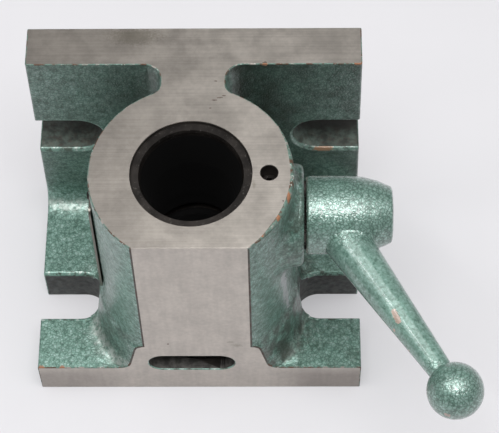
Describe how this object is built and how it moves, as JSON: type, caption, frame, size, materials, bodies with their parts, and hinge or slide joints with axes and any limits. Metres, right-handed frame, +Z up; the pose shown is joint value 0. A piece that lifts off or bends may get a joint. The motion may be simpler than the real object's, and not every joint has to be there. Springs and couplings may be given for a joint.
{
  "type": "collet chuck holder",
  "caption": "Cast collet fixture: upright bore with closing sleeve and draw nut, a ball-ended cam lever, and slotted foot and back plates for bolting down either way.",
  "frame": {"origin": "on the axis of the collet bore, in the plane of the base's underside", "axes": "+X to the lever's side, +Y to the back plate, +Z up along the bore"},
  "size_m": [0.1699, 0.1478, 0.1175],
  "materials": {
    "body_paint": "grey iron casting, hammered green enamel on the rough faces, ground bare on the worked ones",
    "lever_paint": "hammered green enamel",
    "black_steel": "black oxide",
    "plain_steel": "turned, bare",
    "plate_metal": "rolled sheet, bare"
  },
  "bodies": {
    "body": {"body_casting": "body_paint", "shaft_lock_screw": "black_steel", "hub_washer": "black_steel", "upper_thrust_washer": "plain_steel", "lower_thrust_washer": "plain_steel", "retaining_ring": "black_steel", "side_plate": "plate_metal", "side_plate_screws": "plate_metal"},
    "sleeve": {"closing_sleeve": "black_steel", "collet_key": "plain_steel"},
    "lever": {"cam_shaft": "plain_steel", "lever_handle": "lever_paint", "lever_pin": "plain_steel"},
    "nut": {"draw_nut": "black_steel"}
  },
  "joints": [
    {"name": "lever_swing", "type": "hinge", "parent": "body", "child": "lever", "pos_m": [0.0413, 0, 0.0864], "axis": [-1, 0, 0], "range_deg": [0, 90]},
    {"name": "sleeve_travel", "type": "slide", "parent": "body", "child": "sleeve", "axis": [0, 0, -1], "range_m": [0, 0.0026]},
    {"name": "nut_turn", "type": "hinge", "parent": "body", "child": "nut", "pos_m": [0, 0, 0.0227], "axis": [0, 0, 1], "continuous": true}
  ],
  "couplings": [
    {"joint": "sleeve_travel", "follows": "lever_swing", "m_per_rad": 0.0016206}
  ]
}
